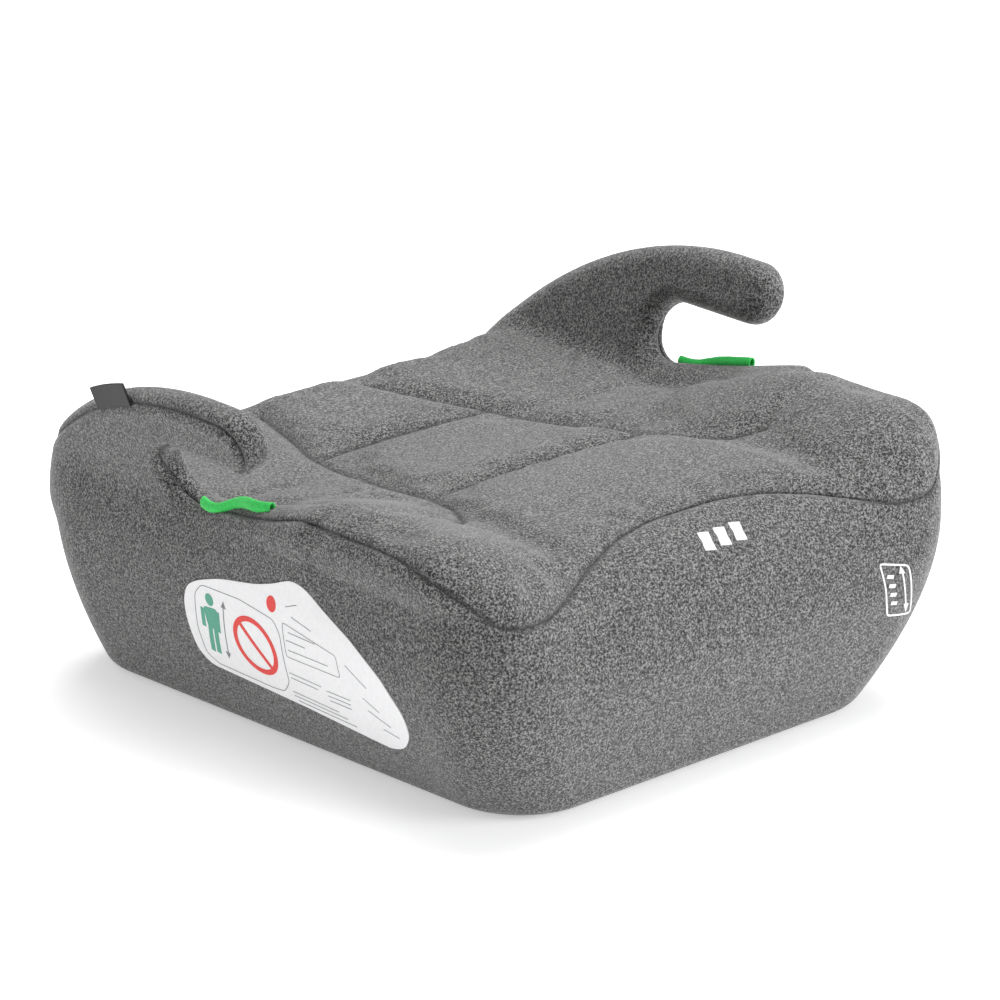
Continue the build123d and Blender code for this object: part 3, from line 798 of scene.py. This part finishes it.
PAD_STEP = 5.0
pad_points, pad_quads = surface_net(seat_pad, PAD_STEP, (-222, -226, 90), (222, 222, 190))
seat_foam = finished(mesh_object("foam_seat", pad_points, pad_quads), FOAM, "pad_foam", "seat_foam")
for side, node in ((-1, "arm_foam_left"), (1, "arm_foam_right")):
    reach = sorted((side * 130, side * 222))
    pad_points, pad_quads = surface_net(arm_pad, 3.0, (reach[0], -60, 140), (reach[1], 224, 224))
    foam = finished(mesh_object(node + "_pad", pad_points, pad_quads), FOAM, "pad_foam", node)

# %% [markdown]
# ## Trim
# Strips of webbing and elastic are ribbons: a flat section with softened edges carried along a line. The
# green guides stand in the belt notches and mark the belt's way. The hem turns in under the seat.

# %% Ribbons
def facing_out(piece):
    """Turns a closed piece's faces outwards."""
    shell = bmesh.new()
    shell.from_mesh(piece.data)
    bmesh.ops.recalc_face_normals(shell, faces=shell.faces)
    shell.to_mesh(piece.data)
    shell.free()
    return piece


def ribbon(name, line, width_way, width, thick, closed=False):
    """A flat strip along a line. width_way is the direction of its width at each point."""
    line, across = np.array(line, float), np.array(width_way, float)
    across /= np.linalg.norm(across, axis=1, keepdims=True)
    along = np.roll(line, -1, 0) - np.roll(line, 1, 0) if closed else np.gradient(line, axis=0)
    along /= np.linalg.norm(along, axis=1, keepdims=True)
    out = np.cross(along, across)
    half, t = width / 2, thick / 2
    flat = half - 0.3 * t
    section = [(-half, 0), (-flat, -t), (flat, -t), (half, 0), (flat, t), (-flat, t)]
    size = len(section)
    edges = [line[:, None] + u * across[:, None] + v * out[:, None] for u, v in section]
    points = np.concatenate(edges, 1).reshape(-1, 3)
    rings = len(line)
    faces = []
    for i in range(rings if closed else rings - 1):
        j = (i + 1) % rings
        steps = [(k, (k + 1) % size) for k in range(size)]
        faces += [(i * size + k, i * size + m, j * size + m, j * size + k) for k, m in steps]
    if not closed:
        faces += [tuple(range(size))[::-1], tuple((rings - 1) * size + k for k in range(size))]
    return facing_out(mesh_object(name, points, faces, smooth=False))


def cover_tree():
    """The finished cover's outer skin, for laying trim and prints on it."""
    faces = np.vstack([top_triangles, side_triangles])
    return BVHTree.FromPolygons([tuple(p) for p in cover_final], [tuple(map(int, f)) for f in faces])


COVER = cover_tree()


def lay(points, way, lift):
    """Drops points onto the cover along a direction and lifts them off it."""
    way = Vector(way).normalized()
    laid = []
    for point in points:
        place, normal, _, _ = COVER.ray_cast(Vector(point) - 120 * way, way)
        if place is None:
            place, normal, _, _ = COVER.find_nearest(Vector(point))
        if normal.dot(way) > 0:
            normal = -normal
        laid.append(tuple(place + lift * normal))
    return np.array(laid)


# %% Belt guides
def rolled_tape(name, line, across, tall, wall):
    """A tape rolled into a flattened tube with open ends, along a line that runs mostly along Y."""
    line = np.array(line, float)
    turns = np.linspace(0, 2 * pi, 16, endpoint=False)
    rings, size = [], len(turns)
    for shrink in (0.0, wall):
        ring = np.stack([(across - shrink) * np.cos(turns), 0 * turns, (tall - shrink) * np.sin(turns)], 1)
        rings.append((line[:, None] + ring[None]).reshape(-1, 3))
    inner, faces = len(line) * size, []
    for i in range(len(line)):
        for k in range(size):
            a, b = i * size + k, i * size + (k + 1) % size
            if i < len(line) - 1:
                faces.append((a, b, b + size, a + size))
                faces.append((b + inner, a + inner, a + inner + size, b + inner + size))
            if i in (0, len(line) - 1):
                faces.append((b, a, a + inner, b + inner))
    return facing_out(mesh_object(name, np.vstack(rings), faces))


for side, node, wave in ((-1, "belt_guide_left", 1.3), (1, "belt_guide_right", 0.3)):
    ys = np.linspace(41, -21, 40)
    run = np.stack([np.full(len(ys), side * 186.0), ys, np.full(len(ys), 40.0)], 1)
    run = lay(run, (0, 0, -1), 2.4)
    run[:, 0] = side * 186.0 + 0.9 * wave * np.sin(ys / 6.0)
    run[:, 1] = ys
    level = np.convolve(np.pad(run[:, 2], 4, mode="edge"), np.ones(9) / 9, "valid")
    run[:, 2] = level + wave * np.sin(ys / 7.5 + 1)
    finished(rolled_tape(node + "_tape", run, 2.6, 3.6, 1.0), GREEN, "green_webbing", node)


# %% Hem and elastic
def base_line(inset, height, count=260):
    """A level line round the base, an inset in from the skirt's foot."""
    turns = np.linspace(0, 2 * pi, count, endpoint=False)
    near, far = np.zeros(count), np.full(count, 320.0)
    for _ in range(40):
        half = (near + far) / 2
        inside = hull(half * np.cos(turns), half * np.sin(turns), np.full(count, HEM_Z + 2)) < -inset
        near, far = np.where(inside, half, near), np.where(inside, far, half)
    return np.stack([near * np.cos(turns), near * np.sin(turns), np.full(count, height)], 1)


hem_low, hem_high = [c[2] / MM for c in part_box("cover_hem")]
hem_middle = base_line(18, (hem_low + hem_high) / 2)
hem_middle[:, 2] += 0.35 * np.sin(np.arange(len(hem_middle)) * 2 * pi / 6.5)
hem_inwards = base_line(30, 0) - base_line(6, 0)
hem = ribbon("cover_hem_band", hem_middle, hem_inwards, 25.0, 1.5, closed=True)
finished(hem, BINDING, "hem_binding", "cover_hem")
elastic_low, elastic_high = [c[2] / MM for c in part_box("hem_elastic")]
elastic_line = base_line(27.5, (elastic_low + elastic_high) / 2)
elastic_thick = max(0.8, elastic_high - elastic_low - 0.2)
elastic = ribbon("hem_elastic_band", elastic_line, hem_inwards, 5.6, elastic_thick, closed=True)
finished(elastic, ELASTIC, "elastic_band", "hem_elastic")

# %% [markdown]
# Stitches repeat, so Geometry Nodes makes them: the line is resampled at the stitch pitch, a short thread
# is set on each point and turned along the line, and the copies are made real.

# %% Hem stitches
STITCH = {"Pitch": 4.6, "Length": 3.1, "Thickness": 0.45}


def stitch_tree(finish):
    """The node tree that turns a line into a row of stitches."""
    tree = bpy.data.node_groups.new("stitch_row", "GeometryNodeTree")
    sockets = {}
    tree.interface.new_socket("Line", in_out="INPUT", socket_type="NodeSocketGeometry")
    for label, value in STITCH.items():
        socket = tree.interface.new_socket(label, in_out="INPUT", socket_type="NodeSocketFloat")
        socket.default_value = value * MM
        sockets[label] = socket.identifier
    tree.interface.new_socket("Stitches", in_out="OUTPUT", socket_type="NodeSocketGeometry")
    nodes, link = tree.nodes, tree.links.new
    start, end = nodes.new("NodeGroupInput"), nodes.new("NodeGroupOutput")
    curve = nodes.new("GeometryNodeMeshToCurve")
    spaced = nodes.new("GeometryNodeResampleCurve")
    spaced.mode = "LENGTH"
    tangent = nodes.new("GeometryNodeInputTangent")
    turn = nodes.new("FunctionNodeAlignRotationToVector")
    turn.axis = "Z"
    thread = nodes.new("GeometryNodeMeshCylinder")
    thread.inputs["Vertices"].default_value = 6
    set_on = nodes.new("GeometryNodeInstanceOnPoints")
    real = nodes.new("GeometryNodeRealizeInstances")
    paint = nodes.new("GeometryNodeSetMaterial")
    paint.inputs["Material"].default_value = finish
    link(start.outputs["Line"], curve.inputs["Mesh"])
    link(curve.outputs["Curve"], spaced.inputs["Curve"])
    link(start.outputs["Pitch"], spaced.inputs["Length"])
    link(spaced.outputs["Curve"], set_on.inputs["Points"])
    link(tangent.outputs["Tangent"], turn.inputs["Vector"])
    link(turn.outputs["Rotation"], set_on.inputs["Rotation"])
    link(start.outputs["Thickness"], thread.inputs["Radius"])
    link(start.outputs["Length"], thread.inputs["Depth"])
    link(thread.outputs["Mesh"], set_on.inputs["Instance"])
    link(set_on.outputs["Instances"], real.inputs["Geometry"])
    link(real.outputs["Geometry"], paint.inputs["Geometry"])
    link(paint.outputs["Geometry"], end.inputs[0])
    return tree, sockets


def stitched(name, line, closed, finish, tree, sockets):
    """A row of stitches along a line of millimetre points, as a plain mesh."""
    mesh = bpy.data.meshes.new(name + "_line")
    count = len(line)
    edges = [(i, (i + 1) % count) for i in range(count if closed else count - 1)]
    mesh.from_pydata((np.asarray(line) * MM).tolist(), edges, [])
    guide = new_object(name + "_guide", mesh)
    modifier = guide.modifiers.new("stitches", "NODES")
    modifier.node_group = tree
    for label, value in STITCH.items():
        modifier[sockets[label]] = value * MM
    bpy.context.view_layer.update()
    made = bpy.data.meshes.new_from_object(guide.evaluated_get(bpy.context.evaluated_depsgraph_get()))
    made.name = name
    bpy.data.objects.remove(guide, do_unlink=True)
    made.materials.clear()
    return finished(new_object(name, made), finish, "hem_binding")


THREAD = plain("thread", (0.11, 0.11, 0.115), 0.7, grain=2000, depth=0.0001, tone=0.1)
stitch_nodes, stitch_inputs = stitch_tree(THREAD)
row = base_line(23.5, hem_low + 0.1)
hem_stitches = stitched("hem_stitches", row, True, THREAD, stitch_nodes, stitch_inputs)
print("stitches", len(hem_stitches.data.polygons), "faces")

# %% [markdown]
# ## Label, prints and tag
# The side label is a thin white film with plain generic marks: a standing figure, a ring with a bar, an
# arrow and grey rules where small print would be. Every mark is a very thin piece laid on the cover, drawn
# flat first, then dropped onto the skin. The front carries three bars and an outlined height mark.

# %% Flat drawing
def smooth_loop(corners, rounds, spacing=1.2):
    """A closed outline with its corners rounded."""
    return eased_loop(even_line(corners, spacing, closed=True), rounds)


def filled(outline, rings):
    """A filled outline, drawn as rings round its middle."""
    outline = np.array(outline, float)
    count, centre = len(outline), np.array(outline, float).mean(0)
    spokes = outline - centre
    points = [centre] + [centre + spoke * r / rings for r in range(1, rings + 1) for spoke in spokes]
    faces = [(0, 1 + k, 1 + (k + 1) % count) for k in range(count)]
    for r in range(rings - 1):
        a, b = 1 + r * count, 1 + (r + 1) * count
        faces += [(a + k, b + k, b + (k + 1) % count, a + (k + 1) % count) for k in range(count)]
    return np.array(points), faces


def stroke(line, width, closed=False):
    """A stroke of one width along a flat line, with square ends."""
    line = even_line(line, 1.2, closed)
    along = np.roll(line, -1, 0) - np.roll(line, 1, 0) if closed else np.gradient(line, axis=0)
    along /= np.linalg.norm(along, axis=1, keepdims=True)
    across = np.stack([-along[:, 1], along[:, 0]], 1) * width / 2
    count = len(line)
    steps = [(k, (k + 1) % count) for k in range(count if closed else count - 1)]
    return np.vstack([line + across, line - across]), [(k, m, count + m, count + k) for k, m in steps]


def disc(centre, wide, tall, tilt=0.0, rings=3):
    """A filled ellipse."""
    turns = np.linspace(0, 2 * pi, 36, endpoint=False)
    u, v = wide * np.cos(turns), tall * np.sin(turns)
    turned = np.stack([u * cos(tilt) - v * sin(tilt), u * sin(tilt) + v * cos(tilt)], 1)
    return filled(turned + centre, rings)


def ring(centre, radius):
    """Points round a circle."""
    turns = np.linspace(0, 2 * pi, 60, endpoint=False)
    return radius * np.stack([np.cos(turns), np.sin(turns)], 1) + centre


def laid_print(name, shapes, place, way, high, low, finish, slot, *nodes):
    """Thin closed pieces: flat shapes dropped along a way onto the skin, from low to high over it."""
    points, faces = [], []
    for flat, polygons in shapes:
        spots = np.array([place(u, v) for u, v in flat])
        start, count = sum(len(p) for p in points), len(spots)
        points += [lay(spots, way, high), lay(spots, way, low)]
        edges = {edge for polygon in polygons for edge in zip(polygon, polygon[1:] + polygon[:1])}
        rim = [(a, b) for a, b in edges if (b, a) not in edges]
        faces += [tuple(start + k for k in polygon) for polygon in polygons]
        faces += [tuple(start + count + k for k in polygon[::-1]) for polygon in polygons]
        faces += [(start + b, start + a, start + count + a, start + count + b) for a, b in rim]
    made = mesh_object(name, np.vstack(points), faces, smooth=False)
    return finished(facing_out(made), finish, slot, *nodes)


def on_side(y, z):
    """A flat drawing's point on the left side, as (y, z)."""
    return (-205.0, y, z)


def on_front(x, z):
    """A flat drawing's point on the front, as (x, z)."""
    return (x, -215.0, z)


INWARD, REARWARD = (1, 0, 0), (0, 1, 0)

# %% Side label
LABEL_EDGE = [
    (55, 82), (50, 93), (39, 99), (18, 106), (-14, 112), (-30, 117), (-46, 124), (-56, 123),
    (-67, 115), (-93, 102), (-115, 85), (-128, 65), (-127, 51), (-117, 39), (-104, 34),
    (-37, 39), (14, 41), (46, 42), (54, 50), (56, 69),
]
label_shape = filled(smooth_loop(LABEL_EDGE, 8, 2.0), 22)
laid_print("side_label_film", [label_shape], on_side, INWARD, 0.45, -0.2, LABEL, "label_print", "side_label")
FIGURE = [
    disc((30.2, 89.2), 3.5, 3.9),
    filled(smooth_loop([(37, 83.5), (25, 84.5), (27, 70), (36, 70)], 3), 3),
    stroke([(38.2, 82), (40, 69.5)], 3.2), stroke([(24.6, 83), (27.3, 69)], 3.2),
    stroke([(34.2, 71.5), (38, 53.6)], 3.6), stroke([(29.4, 71.5), (32.8, 53.6)], 3.6),
]
laid_print("label_figure", FIGURE, on_side, INWARD, 0.6, 0.3, PRINT_GREEN, "label_print")
RING_CENTRE = (-5.2, 70.6)
RED_MARKS = [
    stroke(ring(RING_CENTRE, 16.8), 3.4, closed=True), stroke([(5.3, 82.5), (-16, 58.4)], 2.8),
    disc((-27.3, 104), 3.9, 5.5, 0.35),
]
laid_print("label_ring", RED_MARKS, on_side, INWARD, 0.62, 0.3, PRINT_RED, "label_print")
FRAME_EDGE = [
    (43, 90), (36, 97), (2, 98), (-27, 94), (-31, 86), (-28, 54),
    (-20, 45), (-10, 44), (38, 45), (46, 50), (47, 67),
]
BOX_EDGE = [(-35, 95), (-79, 87.5), (-79, 73.5), (-33, 72.5)]
RULES = [
    ((-39, 89.8), (-62, 89.6)), ((-36, 84), (-52, 84)), ((-36, 77.6), (-70, 78.3)),
    ((-31, 61.2), (-58, 60.8)), ((-31, 58), (-54, 57.6)), ((-28, 47.8), (-66, 46.6)),
    ((-28, 45), (-72, 43.6)), ((-30, 42), (-78, 40.4)), ((-62, 59.4), (-82, 59.8)),
    ((-62, 56.2), (-81, 56.4)), ((-62, 53), (-80, 53.2)), ((-44, 101), (-60, 97)),
    ((-40, 106), (-50, 110)), ((-86, 84), (-101, 74)), ((-95, 66), (-106, 60)),
    ((-96, 58), (-112, 52)), ((-104, 48), (-116, 46)),
]
GREY_MARKS = [
    stroke(smooth_loop(FRAME_EDGE, 6), 0.45, closed=True), stroke(smooth_loop(BOX_EDGE, 2), 0.4, closed=True),
    stroke([(18, 89), (24, 56)], 0.7),
    filled([(17.3, 92), (20.2, 87.6), (15.9, 87.2)], 2),
    filled([(24.9, 52.4), (26.2, 57), (22, 56.6)], 2),
    *[stroke(rule, 0.45) for rule in RULES],
]
laid_print("label_rules", GREY_MARKS, on_side, INWARD, 0.58, 0.3, PRINT_GREY, "label_print")

# %% Front marks
BARS = [filled([(x, 134.0), (x + 7.5, 133.0), (x + 9.5, 140.5), (x + 2.0, 141.3)], 4) for x in (-9, 3, 15)]
laid_print("front_bars", BARS, on_front, REARWARD, 0.35, -0.15, PRINT_PALE, "label_print")
HEIGHT_EDGE = [(112.4, 99.8), (134.3, 94.1), (144.0, 60.5), (121.5, 65.3)]
HEIGHT_MARK = [
    stroke(smooth_loop(HEIGHT_EDGE, 3), 1.1, closed=True), stroke([(129.2, 92), (137, 66.5)], 1.0),
    filled([(128.2, 95.2), (131.8, 90), (127.0, 90.8)], 2),
    filled([(138, 63.2), (138.9, 68.6), (134.2, 69.6)], 2),
    *[stroke([(145 - 0.3 * z, z), (150 - 0.3 * z, z - 1.2)], 2.2) for z in (91, 85, 79, 73)],
]
laid_print("height_mark", HEIGHT_MARK, on_front, REARWARD, 0.35, -0.15, PRINT_PALE, "label_print")

# %% Loop tag
tag_ys = np.linspace(74.5, 110.5, 14)
tag_rise = ARM_TOP - SLOPE_RADIUS + np.sqrt(SLOPE_RADIUS**2 - (tag_ys - CROWN_Y) ** 2) + 2.2
tag_line = [arm_place(-RIM + 0.3 * sin(y / 9), y, up) for y, up in zip(tag_ys, tag_rise)]
tag_line = np.array(tag_line) * (-1, 1, 1)
tag_up = np.tile((-sin(ARM_LEAN), 0.12, cos(ARM_LEAN)), (len(tag_ys), 1))
tag = ribbon("loop_tag", tag_line, tag_up, 15.0, 1.5)
finished(tag, RIBBON, "tag_ribbon", "side_tag")
